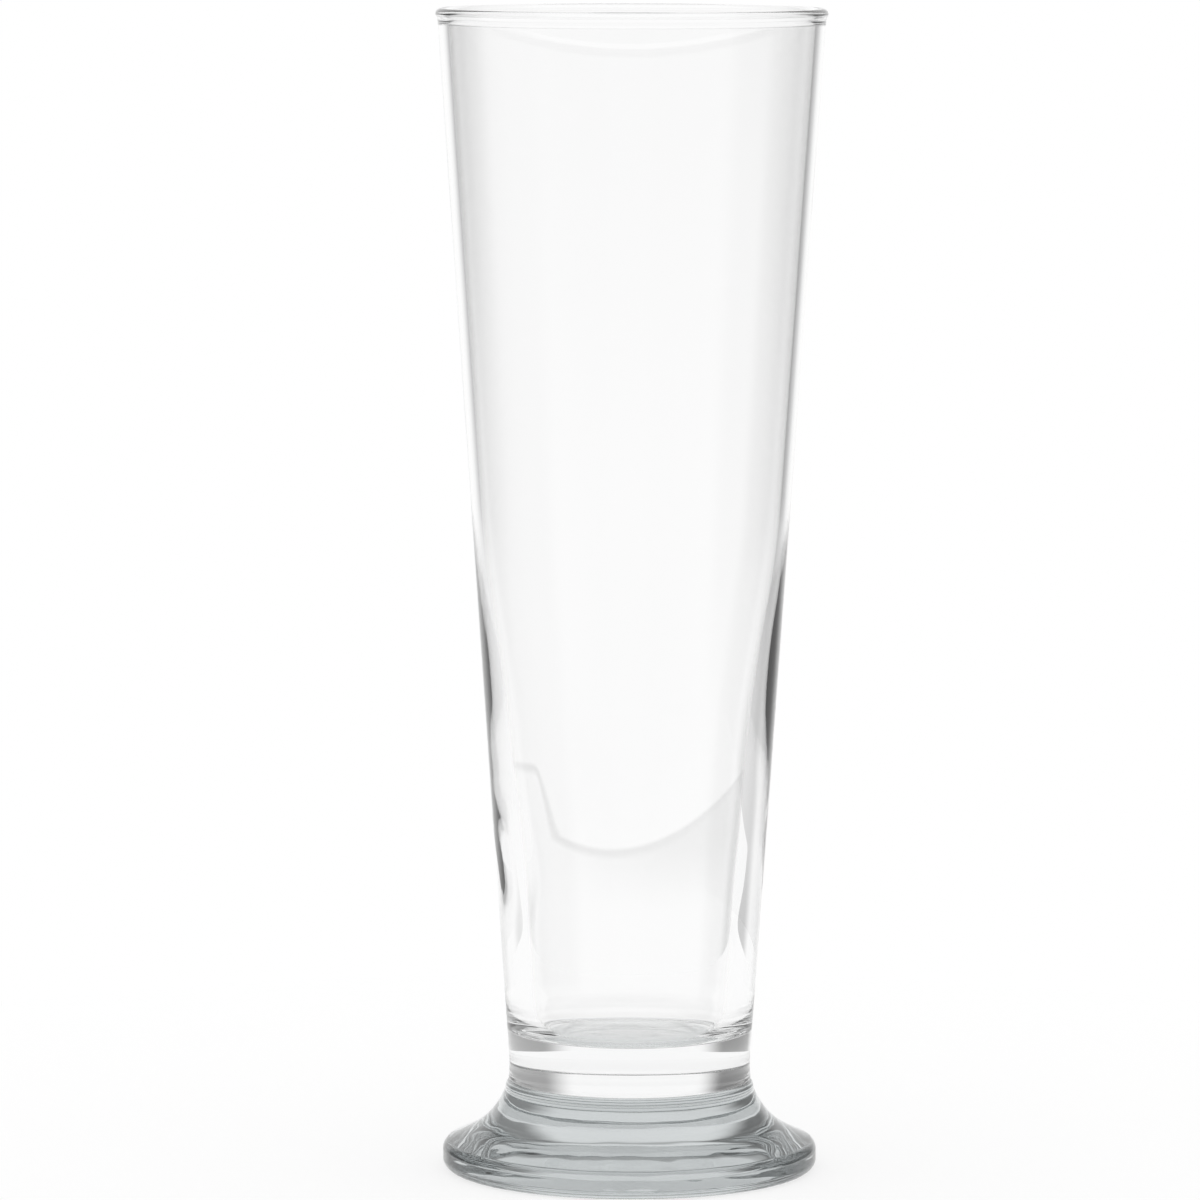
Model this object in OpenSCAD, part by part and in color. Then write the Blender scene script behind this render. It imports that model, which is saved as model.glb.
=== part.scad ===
// Footed pilsner glass: a tall conical bowl, flame-fused to a heavy pressed foot.
// It stands on z = 0 with its axis along +Z. Every outline below is a half section
// in the plane of radius and height, turned once round the axis.

/* [Bowl] */
// Height from the table to the crest of the rim
overall_h = 209; // [170:1:260]
// Outer diameter of the rim
rim_d = 70; // [62:0.5:90]
// Thickness of the wall below the rim, measured level
wall_t = 1.8; // [1.2:0.1:2.6]
// How far the melted rim stands out from the wall below it
rim_proud = 0.3; // [0.1:0.05:0.6]
// Thickness of the wall low in the bowl, where the soft glass settled
base_wall_t = 5.2; // [3.5:0.1:6.5]
// Height at which the wall starts to thicken towards the base
settle_top_z = 120; // [90:1:150]
// Height below which the wall has its full thickness
settle_low_z = 45; // [38:1:70]
// Solid glass between the joint and the edge of the cavity's floor
floor_t = 8; // [5:0.1:12]
// Radius of the hollow between the cavity's wall and its floor
floor_corner_r = 10; // [4:0.5:14]
// Angle below the level at which that hollow ends, at the line round the floor
floor_corner_a = 37; // [25:1:60]
// Rise of the floor towards its centre
floor_dome = 0.5; // [0.2:0.1:1.5]

/* [Neck and joint] */
// Diameter at the neck, the narrowest place of the outside
neck_d = 43.4; // [38:0.1:50]
// Height of the neck above the joint
neck_rise = 2.65; // [1.5:0.05:5]
// Height of the joint, where the bowl stands on the foot
joint_z = 16.2; // [13:0.1:24]
// Radius of the melted edge of the bowl at the joint
joint_edge_r = 0.35; // [0.2:0.05:0.8]
// Height of the rolled band that the fusing left below the joint
band_h = 1.7; // [1:0.05:3]
// How far the band swells past the straight line between its edges
band_swell = 0.3; // [0.1:0.05:0.6]

/* [Foot] */
// Diameter of the foot
foot_d = 67.5; // [60:0.1:84]
// Share of the largest cove that still runs into the lip
cove_share = 0.985; // [0.6:0.005:0.99]
// Radius of the lip above its upright band
lip_top_r = 2; // [1:0.05:3.5]
// Height of the upright band at the lip's widest place
lip_band_h = 1.55; // [0.5:0.05:3]
// Radius of the lip below its upright band
lip_low_r = 1.85; // [1:0.05:3.5]
// Width of the flat ring that the glass stands on
ring_w = 1.6; // [0.8:0.1:3]
// Depth of the shallow domed recess under the foot
recess_h = 0.6; // [0.3:0.1:3]

/* [Hidden] */
$fn = 180;

// Degrees of turn between two points of a curve
arc_step = 3;
// Number of points along the thickening wall
settle_steps = 24;

// The lip: one arc above and one below the upright band at the widest place of the foot
lip_z = lip_low_r + lip_band_h;
lip_top_cr = foot_d / 2 - lip_top_r;
lip_low_cr = foot_d / 2 - lip_low_r;
ring_r = lip_low_cr - ring_w;

// The cove: one arc from the wall of the bowl, round the neck, to the flank of the foot.
// The largest one that fits touches the lip's arc, with no flank between them.
neck_r = neck_d / 2;
neck_z = joint_z + neck_rise;
cove_out = lip_top_cr - neck_r;
cove_down = neck_z - lip_z;
cove_max = (cove_out ^ 2 + cove_down ^ 2 - lip_top_r ^ 2) / (2 * (cove_out + lip_top_r));
cove_r = cove_share * cove_max;
cove_cr = neck_r + cove_r;

// The flank: the straight stretch that touches both the cove and the lip.
// flank_a is how far its outward normal points above the level.
cove_to_lip = [lip_top_cr - cove_cr, lip_z - neck_z];
flank_turn = acos(-(lip_top_r + cove_r) / norm(cove_to_lip));
flank_a = atan2(cove_to_lip.y, cove_to_lip.x) + flank_turn;

// The rim: a full round, level with the inside of the wall and proud of its outside
rim_r = (wall_t + rim_proud) / 2;
rim_cr = rim_d / 2 - rim_r;
rim_z = overall_h - rim_r;

// The wall: a straight cone from the rim that touches the cove above the neck
wall_top_r = rim_d / 2 - rim_proud;
wall_to_cove = [cove_cr - wall_top_r, rim_z - neck_z];
wall_a = atan2(wall_to_cove.y, wall_to_cove.x) - acos(cove_r / norm(wall_to_cove));
rim_tuck_a = wall_a + acos((wall_top_r - rim_cr) / rim_r * cos(wall_a));

// The cavity's floor, and the hollow that touches the wall and ends at the floor's edge
floor_z = joint_z + floor_t;
floor_corner_z = floor_z + floor_corner_r * sin(floor_corner_a);
floor_corner_cr = inside_r(floor_corner_z) - floor_corner_r / cos(wall_a);
floor_edge_r = floor_corner_cr + floor_corner_r * cos(floor_corner_a);

// The joint: flat faces of one radius on both pieces
seat_r = cove_at(joint_z + joint_edge_r) - joint_edge_r;

// Points of an arc about the centre (r, z), from angle a0 to angle a1
function arc(r, z, radius, a0, a1) =
    let (steps = max(3, ceil(abs(a1 - a0) / arc_step)))
    [for (i = [0 : steps])
        let (a = a0 + (a1 - a0) * i / steps)
        [r + radius * cos(a), z + radius * sin(a)]];

// Points of a low dome, from its edge of radius r at height z to its top, h higher
function dome(r, z, h) =
    let (radius = (r ^ 2 + h ^ 2) / (2 * h))
    arc(0, z + h - radius, radius, 90 - asin(r / radius), 90);

// Points of a bow from p down to q that stands out by the given swell
function bow(p, q, swell) =
    let (chord = norm(q - p))
    let (radius = (chord ^ 2 / 4 + swell ^ 2) / (2 * swell))
    let (out_a = atan2(q.x - p.x, p.y - q.y))
    let (half_a = asin(chord / 2 / radius))
    let (centre = (p + q) / 2 - (radius - swell) * [cos(out_a), sin(out_a)])
    arc(centre.x, centre.y, radius, out_a + half_a, out_a - half_a);

// Angle on the cove's arc, and radius of the cove, at height z
function cove_angle(z) = 180 + asin((neck_z - z) / cove_r);
function cove_at(z) = cove_cr + cove_r * cos(cove_angle(z));

// Radius of the outside and of the inside of the wall at height z
function outside_r(z) = wall_top_r - (rim_z - z) * tan(wall_a);
function inside_r(z) = outside_r(z) - wall_t - (base_wall_t - wall_t) * settled(z);

// How far the wall has thickened at height z: 0 near the rim, 1 near the base, with soft ends
function settled(z) =
    let (u = min(max((settle_top_z - z) / (settle_top_z - settle_low_z), 0), 1))
    u * u * (3 - 2 * u);

// Tall bowl: thick solid base, straight outside, wall that thins upward, melted rim
module bowl() {
    settle_points = [for (i = [0 : settle_steps])
        let (z = settle_top_z + (settle_low_z - settle_top_z) * i / settle_steps)
        [inside_r(z), z]];
    color([0.86, 0.92, 0.92, 0.5])
        rotate_extrude()
            polygon(concat(
                [[0, joint_z]],
                arc(seat_r, joint_z + joint_edge_r, joint_edge_r, -90, 0),
                arc(cove_cr, neck_z, cove_r, cove_angle(joint_z + 2 * joint_edge_r), 180 - wall_a),
                arc(rim_cr, rim_z, rim_r, -rim_tuck_a, 180),
                settle_points,
                arc(floor_corner_cr, floor_corner_z, floor_corner_r, -wall_a, -floor_corner_a),
                dome(floor_edge_r, floor_z, floor_dome)
            ));
}

// Pressed foot: fused band, cove, rounded lip, flat standing ring, shallow domed recess
module foot() {
    band_z = joint_z - band_h;
    color([0.74, 0.84, 0.84, 0.6])
        rotate_extrude()
            polygon(concat(
                [[0, joint_z]],
                bow([seat_r, joint_z], [cove_at(band_z), band_z], band_swell),
                arc(cove_cr, neck_z, cove_r, cove_angle(band_z), 180 + flank_a),
                arc(lip_top_cr, lip_z, lip_top_r, flank_a, 0),
                arc(lip_low_cr, lip_low_r, lip_low_r, 0, -90),
                dome(ring_r, 0, recess_h)
            ));
}

bowl();
foot();
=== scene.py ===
import math

import bmesh
import bpy
from mathutils import Matrix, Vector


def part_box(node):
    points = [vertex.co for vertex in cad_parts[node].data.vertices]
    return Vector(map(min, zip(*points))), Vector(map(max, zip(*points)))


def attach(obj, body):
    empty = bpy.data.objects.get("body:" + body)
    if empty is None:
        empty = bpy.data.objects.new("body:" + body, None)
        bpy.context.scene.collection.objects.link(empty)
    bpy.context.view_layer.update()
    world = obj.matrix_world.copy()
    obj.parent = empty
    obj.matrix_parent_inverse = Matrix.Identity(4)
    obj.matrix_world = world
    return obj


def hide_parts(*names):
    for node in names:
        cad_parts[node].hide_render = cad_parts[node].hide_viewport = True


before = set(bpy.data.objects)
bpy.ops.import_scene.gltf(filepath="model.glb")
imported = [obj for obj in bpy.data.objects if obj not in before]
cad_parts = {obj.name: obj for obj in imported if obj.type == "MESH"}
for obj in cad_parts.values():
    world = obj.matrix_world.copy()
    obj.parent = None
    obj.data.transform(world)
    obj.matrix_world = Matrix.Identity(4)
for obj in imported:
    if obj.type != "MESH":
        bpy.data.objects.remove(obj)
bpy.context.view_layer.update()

MM = 0.001

# Camera: fitted to the ellipses of the rim, the joint and the foot in the photograph
FRAME_PX = 1200
FOCAL_PX = 7221
SENSOR_MM = 36
CAMERA_BACK = 1289 * MM
CAMERA_LEFT = 5.5 * MM
CAMERA_HEIGHT = 241.7 * MM
CAMERA_PITCH = math.radians(6.14)
CAMERA_ROLL = math.radians(0.1)

# Turning: steps round the axis, the longest step along the section, and the angle that stays sharp.
# Points with an edge shorter than SHORT_STEP lie on small arcs, which are fine as they are.
TURN_STEPS = 180
LONGEST_STEP = 1.2 * MM
SHORT_STEP = 0.4 * MM
SAME_POINT = 0.002 * MM
CURVE_PASSES = 12
CURVE_FACTOR = 0.5
CREASE = math.radians(25)

# Joint: a hair of air between the two flat faces, which the eye sees as the line between them
JOINT_GAP = 0.05 * MM

# Settled glass inside the wall. Angles start at the front of the glass and grow towards +X, the right.
# Its edge hangs lowest a little left of the front, and swings up towards the sides.
SETTLE_LOW = 61.5 * MM
SETTLE_SWING = 20.5 * MM
SETTLE_TURN = math.radians(10)
# Farther left the edge steps up to a level shoulder
SHOULDER = 76 * MM
STEP_START = math.radians(-33)
STEP_END = math.radians(-47)
# The edge's slope is measured over this turn to either side
SLOPE_STEP = math.radians(1)
# The edge is drawn as a thin soft line of painted shade: grey painted into the glass's colour. These are
# depths
# below it: where the line has its full tone, where it starts to fade and where it has ended.
# Past the sides of the glass it fades too.
LINE_EDGE = 1.0 * MM
LINE_LOW = 1.2 * MM
LINE_END = 2.8 * MM
SIDE_START = math.radians(75)
SIDE_END = math.radians(100)
# Below the line lies a fainter painted shade, strongest on the right, which thins out downward
SHADE_SHARE = 0.8
SHADE_HIGH = 64 * MM
SHADE_LOW = 48 * MM
SHADE_LEFT = math.radians(-60)
SHADE_RIGHT = math.radians(30)
# What the mesh keeps for the material: depth below the edge, and the shares of the painted line and shade
MARKS = ("below_edge", "painted_line_weight", "painted_shade_weight")
# Thick places: angle, half width, lower end, thickest height, upper end and depth
LUMPS = [
    (math.radians(95), math.radians(60), 60 * MM, 86 * MM, 118 * MM, 0.4 * MM),
    (math.radians(-95), math.radians(30), 43 * MM, 53 * MM, 69 * MM, 0.6 * MM),
    (math.radians(-95), math.radians(45), 74 * MM, 86 * MM, 110 * MM, 0.15 * MM),
]

# Soda-lime glass. A metre of it absorbs ABSORPTION times what its absorption colour lacks to white.
GLASS_IOR = 1.52
ABSORPTION = 10
# Upright cords in the blown glass
CORD_WIDTH = 6 * MM
CORD_LENGTH = 90 * MM
CORD_RELIEF = 0.01 * MM
CORD_DETAIL = 2
# Unevenness of the pressed skin
SKIN_WIDTH = 9 * MM
SKIN_RELIEF = 0.12 * MM
SKIN_DETAIL = 1
# Light crosses many faces of the glass before it leaves
GLASS_BOUNCES = 32
GLOSSY_BOUNCES = 16

# Round table. Its own glow makes it as white as the tent, which the glass shows past its edge.
FLOOR_RADIUS = 220 * MM
FLOOR_DROP = 0.05 * MM
FLOOR_SIDES = 128
GLOW = 0.71

# Grey cards on the white tent: middle, half width, low edge and high edge in degrees, and how bright.
# Azimuths start at +Y, behind the glass, and grow towards +X.
CARDS = [
    (0, 40, 29, 100, 0.57),
    (180, 118, 6, 35, 0.08),
    (55, 28, -18, 58, 0.36),
    (-54, 22, -10, 60, 0.20),
    (95, 20, -20, 5, 0.45),
]
CARD_SOFT = math.radians(8)
# Below the level of the table's far edge the cards fade by this share
FADE_START = math.radians(-6.5)
FADE_END = math.radians(-9.5)
FADE_SHARE = 0.3


def linear(hex_colour):
    """An sRGB hex colour as the linear RGBA that the shaders take."""
    channels = [int(hex_colour[i:i + 2], 16) / 255 for i in (1, 3, 5)]
    return [c / 12.92 if c <= 0.04045 else ((c + 0.055) / 1.055) ** 2.4 for c in channels] + [1]


def smooth_step(value, start, end):
    """Rises softly from 0 at start to 1 at end."""
    share = min(max((value - start) / (end - start), 0), 1)
    return share * share * (3 - 2 * share)


def node(tree, kind, inputs=None, **settings):
    """Adds a node with its settings, and sets each input to a value or links it to an output."""
    made = tree.nodes.new(kind)
    for name, value in settings.items():
        setattr(made, name, value)
    for name, value in (inputs or {}).items():
        if isinstance(value, bpy.types.NodeSocket):
            tree.links.new(value, made.inputs[name])
        else:
            made.inputs[name].default_value = value
    return made


def empty_material(name):
    made = bpy.data.materials.new(name)
    made.use_nodes = True
    made.node_tree.nodes.clear()
    return made


def placed(name, shape):
    """A finished bmesh as an object at the origin."""
    mesh = bpy.data.meshes.new(name)
    shape.to_mesh(mesh)
    shape.free()
    piece = bpy.data.objects.new(name, mesh)
    bpy.context.scene.collection.objects.link(piece)
    return piece


def clear_glass(tree, colour, normal, absorbed):
    """Ends a material as polished glass, with its skin and what its thickness takes from the light."""
    skin = {
        "Base Color": colour, "Roughness": 0, "IOR": GLASS_IOR, "Transmission Weight": 1, "Normal": normal,
    }
    surface = node(tree, "ShaderNodeBsdfPrincipled", skin).outputs["BSDF"]
    thickness = {"Color": linear(absorbed), "Density": ABSORPTION}
    inside = node(tree, "ShaderNodeVolumeAbsorption", thickness).outputs["Volume"]
    node(tree, "ShaderNodeOutputMaterial", {"Surface": surface, "Volume": inside})


def blown_glass():
    """Blown soda-lime glass, polished by the flame: almost colourless, with faint upright cords
    from the gathering. Grey painted into its colour at the settled glass's edge and below it
    is painted shade."""
    made = empty_material("blown_soda_lime_glass")
    tree = made.node_tree
    place = node(tree, "ShaderNodeTexCoord").outputs["Object"]
    upright = {"Vector": place, "Scale": (1 / CORD_WIDTH, 1 / CORD_WIDTH, 1 / CORD_LENGTH)}
    stretched = node(tree, "ShaderNodeMapping", upright).outputs["Vector"]
    streaks = {"Vector": stretched, "Scale": 1, "Detail": CORD_DETAIL}
    cords = node(tree, "ShaderNodeTexNoise", streaks).outputs["Fac"]
    relief = {"Height": cords, "Strength": 1, "Distance": CORD_RELIEF}
    wavy = node(tree, "ShaderNodeBump", relief).outputs["Normal"]
    below, line, shade = (
        node(tree, "ShaderNodeAttribute", attribute_name=name).outputs["Fac"] for name in MARKS
    )
    # Painted shade: grey mixed into the glass's colour, a line at the settled edge and fainter shade below
    lower = {"Value": below, "From Min": LINE_LOW, "From Max": LINE_END, "To Min": line, "To Max": shade}
    under = node(tree, "ShaderNodeMapRange", lower, interpolation_type="SMOOTHSTEP").outputs["Result"]
    upper = {"Value": below, "From Min": 0, "From Max": LINE_EDGE, "To Min": 0, "To Max": under}
    settled = node(tree, "ShaderNodeMapRange", upper, interpolation_type="SMOOTHSTEP").outputs["Result"]
    # A Mix node's colour sockets share their names with its other sockets, so they go by number
    painted_shade_mix = {0: settled, 6: linear("#FEFEFE"), 7: linear("#DEDEDE")}
    colour = node(tree, "ShaderNodeMix", painted_shade_mix, data_type="RGBA").outputs[2]
    clear_glass(tree, colour, wavy, "#F2F3F3")
    return made


def pressed_glass():
    """Pressed soda-lime glass: clear, a cool grey-green in its thickness, with the soft unevenness
    that the mould leaves on its skin."""
    made = empty_material("pressed_soda_lime_glass")
    tree = made.node_tree
    place = node(tree, "ShaderNodeTexCoord").outputs["Object"]
    patches = {"Vector": place, "Scale": 1 / SKIN_WIDTH, "Detail": SKIN_DETAIL}
    skin = node(tree, "ShaderNodeTexNoise", patches).outputs["Fac"]
    relief = {"Height": skin, "Strength": 1, "Distance": SKIN_RELIEF}
    uneven = node(tree, "ShaderNodeBump", relief).outputs["Normal"]
    clear_glass(tree, linear("#FBFDFD"), uneven, "#7E8B8E")
    return made


def turn_at(vertex):
    """How far the section turns at a vertex between two edges."""
    before, after = (vertex.co - edge.other_vert(vertex).co for edge in vertex.link_edges)
    return math.pi - before.angle(after)


def shortest_edge(vertex):
    return min(edge.calc_length() for edge in vertex.link_edges)


def half_section(name):
    """The solid's own section in the XZ plane, from the axis outward, with its long curves smoothed."""
    shape = bmesh.new()
    shape.from_mesh(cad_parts[name].data)
    bmesh.ops.remove_doubles(shape, verts=shape.verts, dist=SAME_POINT)
    everything = shape.verts[:] + shape.edges[:] + shape.faces[:]
    cut = bmesh.ops.bisect_plane(
        shape, geom=everything, dist=SAME_POINT, plane_co=(0, 0, 0), plane_no=(0, 1, 0),
    )
    kept = set(cut["geom_cut"])
    bmesh.ops.delete(shape, geom=shape.faces[:], context="FACES_ONLY")
    bmesh.ops.delete(shape, geom=[v for v in shape.verts if v not in kept], context="VERTS")
    bmesh.ops.remove_doubles(shape, verts=shape.verts, dist=SAME_POINT)
    corners = {v for v in shape.verts if turn_at(v) > CREASE}
    for edge in shape.edges[:]:
        cuts = math.ceil(edge.calc_length() / LONGEST_STEP) - 1
        if cuts > 0:
            bmesh.ops.subdivide_edges(shape, edges=[edge], cuts=cuts)
    curves = [v for v in shape.verts if v not in corners and shortest_edge(v) > SHORT_STEP]
    for i in range(CURVE_PASSES):
        bmesh.ops.smooth_vert(shape, verts=curves, factor=CURVE_FACTOR, use_axis_x=True, use_axis_z=True)
    # Cut at the axis, so that the turned shape closes there
    outline = shape.verts[:] + shape.edges[:]
    bmesh.ops.bisect_plane(
        shape, geom=outline, dist=SAME_POINT, plane_co=(0, 0, 0), plane_no=(1, 0, 0), clear_inner=True,
    )
    return shape


def turn_once(shape):
    """Turns a half section once round the axis into a closed shape."""
    bmesh.ops.spin(
        shape, geom=shape.verts[:] + shape.edges[:], cent=(0, 0, 0), axis=(0, 0, 1),
        angle=math.tau, steps=TURN_STEPS, use_merge=True,
    )
    bmesh.ops.remove_doubles(shape, verts=shape.verts, dist=SAME_POINT)
    bmesh.ops.recalc_face_normals(shape, faces=shape.faces)
    shape.normal_update()


def hanging_edge(angle):
    """Height of the settled glass's edge at an angle, without its shoulder."""
    return SETTLE_LOW + SETTLE_SWING * (1 - math.cos(angle + SETTLE_TURN))


def settle_edge(angle):
    """Height of the settled glass's edge at an angle."""
    hanging = hanging_edge(angle)
    return hanging + (SHOULDER - hanging) * smooth_step(angle, STEP_START, STEP_END)


def settle(shape):
    """Marks the painted line and painted shade of the settled edge on the inside of the wall,
    and swells the wall at the lumps.
    """
    below_edge, painted_line_weight, painted_shade_weight = (shape.verts.layers.float.new(name) for name in MARKS)
    for vertex in shape.verts:
        radius = vertex.co.xy.length
        height = vertex.co.z
        if vertex.normal.xy.dot(vertex.co.xy) >= 0:
            continue
        angle = math.atan2(vertex.co.x, -vertex.co.y)
        rise = settle_edge(angle + SLOPE_STEP) - settle_edge(angle - SLOPE_STEP)
        slope = rise / (2 * SLOPE_STEP * radius)
        across = (settle_edge(angle) - height) / math.hypot(1, slope)
        vertex[below_edge] = max(across, hanging_edge(angle) - height)
        # Shares of the painted shade: the line fades past the sides, the shade below grows rightward and
        # upward
        vertex[painted_line_weight] = 1 - smooth_step(abs(angle), SIDE_START, SIDE_END)
        rightward = SHADE_SHARE * smooth_step(angle, SHADE_LEFT, SHADE_RIGHT)
        upward = smooth_step(height, SHADE_LOW, SHADE_HIGH)
        vertex[painted_shade_weight] = vertex[painted_line_weight] * rightward * upward
        swell = 0
        for middle, half, low, thickest, high, depth in LUMPS:
            upright = smooth_step(height, low, thickest) * (1 - smooth_step(height, thickest, high))
            swell += depth * upright * (1 - smooth_step(abs(angle - middle), 0, half))
        vertex.co.xy *= 1 - swell / radius


def glass_piece(name, shape, glass):
    """Makes a turned shape the piece that stands for a node of the model."""
    piece = placed(name + "_glass", shape)
    piece.data.shade_smooth()
    piece.data.set_sharp_from_angle(angle=CREASE)
    piece.data.materials.append(glass)
    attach(piece, "root")
    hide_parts(name)


def bowl():
    shape = half_section("bowl")
    turn_once(shape)
    settle(shape)
    glass_piece("bowl", shape, blown_glass())


def foot():
    shape = half_section("foot")
    joint_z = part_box("foot")[1].z
    seat = [v for v in shape.verts if v.co.z > joint_z - SAME_POINT]
    bmesh.ops.translate(shape, verts=seat, vec=(0, 0, -JOINT_GAP))
    turn_once(shape)
    glass_piece("foot", shape, pressed_glass())


def white_table():
    """Matt white laminate: it shows the soft shade under the foot and is plain white elsewhere."""
    made = empty_material("matt_white_laminate")
    tree = made.node_tree
    diffuse = node(tree, "ShaderNodeBsdfDiffuse", {"Color": linear("#959595")}).outputs["BSDF"]
    white = {"Color": linear("#FFFFFF"), "Strength": GLOW}
    glow = node(tree, "ShaderNodeEmission", white).outputs["Emission"]
    both = node(tree, "ShaderNodeAddShader", {0: diffuse, 1: glow}).outputs["Shader"]
    node(tree, "ShaderNodeOutputMaterial", {"Surface": both})
    return made


def floor():
    shape = bmesh.new()
    bmesh.ops.create_circle(shape, cap_ends=True, segments=FLOOR_SIDES, radius=FLOOR_RADIUS)
    bmesh.ops.translate(shape, verts=shape.verts, vec=(0, 0, -FLOOR_DROP))
    piece = placed("floor", shape)
    piece.data.materials.append(white_table())


def light_tent():
    """A white tent that lights the glass evenly. In the glass it shows grey cards, which draw the
    edges, and the camera and the table see it plain white."""
    world = bpy.data.worlds.new("light_tent")
    bpy.context.scene.world = world
    world.use_nodes = True
    tree = world.node_tree
    tree.nodes.clear()
    direction = node(tree, "ShaderNodeTexCoord").outputs["Generated"]
    axes = node(tree, "ShaderNodeSeparateXYZ", {"Vector": direction}).outputs
    level_axes = {0: axes["X"], 1: axes["Y"]}
    azimuth = node(tree, "ShaderNodeMath", level_axes, operation="ARCTAN2").outputs[0]
    elevation = node(tree, "ShaderNodeMath", {0: axes["Z"]}, operation="ARCSINE").outputs[0]
    level = 1.0
    for middle, half, low, high, shade in CARDS:
        turned = {0: azimuth, 1: math.radians(middle)}
        offset = node(tree, "ShaderNodeMath", turned, operation="SUBTRACT").outputs[0]
        either_way = {0: offset, 1: math.pi, 2: -math.pi}
        wrapped = node(tree, "ShaderNodeMath", either_way, operation="WRAP").outputs[0]
        away = node(tree, "ShaderNodeMath", {0: wrapped}, operation="ABSOLUTE").outputs[0]
        card = 1.0
        for angle, edge, side in ((away, half, -1), (elevation, low, 1), (elevation, high, -1)):
            reach = {
                "Value": angle, "To Max": card,
                "From Min": math.radians(edge) - side * CARD_SOFT,
                "From Max": math.radians(edge) + side * CARD_SOFT,
            }
            soft_edge = node(tree, "ShaderNodeMapRange", reach, interpolation_type="SMOOTHSTEP")
            card = soft_edge.outputs["Result"]
        level = node(tree, "ShaderNodeMix", {"Factor": card, "A": level, "B": shade}).outputs["Result"]
    downward = {"Value": elevation, "From Min": FADE_START, "From Max": FADE_END, "To Max": FADE_SHARE}
    faded = node(tree, "ShaderNodeMapRange", downward, interpolation_type="SMOOTHSTEP").outputs["Result"]
    level = node(tree, "ShaderNodeMix", {"Factor": faded, "A": level, "B": 1.0}).outputs["Result"]
    path = node(tree, "ShaderNodeLightPath").outputs
    rays = {0: path["Is Camera Ray"], 1: path["Is Diffuse Ray"]}
    plain = node(tree, "ShaderNodeMath", rays, operation="MAXIMUM").outputs[0]
    shown = node(tree, "ShaderNodeMix", {"Factor": plain, "A": level, "B": 1.0}).outputs["Result"]
    cloth = {"Color": linear("#FFFFFF"), "Strength": shown}
    background = node(tree, "ShaderNodeBackground", cloth).outputs["Background"]
    node(tree, "ShaderNodeOutputWorld", {"Surface": background})


def camera():
    lens = bpy.data.cameras.new("camera")
    lens.sensor_width = SENSOR_MM
    lens.lens = SENSOR_MM * FOCAL_PX / FRAME_PX
    made = bpy.data.objects.new("camera", lens)
    bpy.context.scene.collection.objects.link(made)
    stand = Matrix.Translation((-CAMERA_LEFT, -CAMERA_BACK, CAMERA_HEIGHT))
    tilt = Matrix.Rotation(math.pi / 2 - CAMERA_PITCH, 4, "X")
    made.matrix_world = stand @ tilt @ Matrix.Rotation(CAMERA_ROLL, 4, "Z")
    bpy.context.scene.camera = made


scene = bpy.context.scene
scene.view_settings.view_transform = "Standard"
scene.cycles.max_bounces = GLASS_BOUNCES
scene.cycles.transmission_bounces = GLASS_BOUNCES
scene.cycles.transparent_max_bounces = GLASS_BOUNCES
scene.cycles.glossy_bounces = GLOSSY_BOUNCES

camera()
light_tent()
floor()
bowl()
foot()
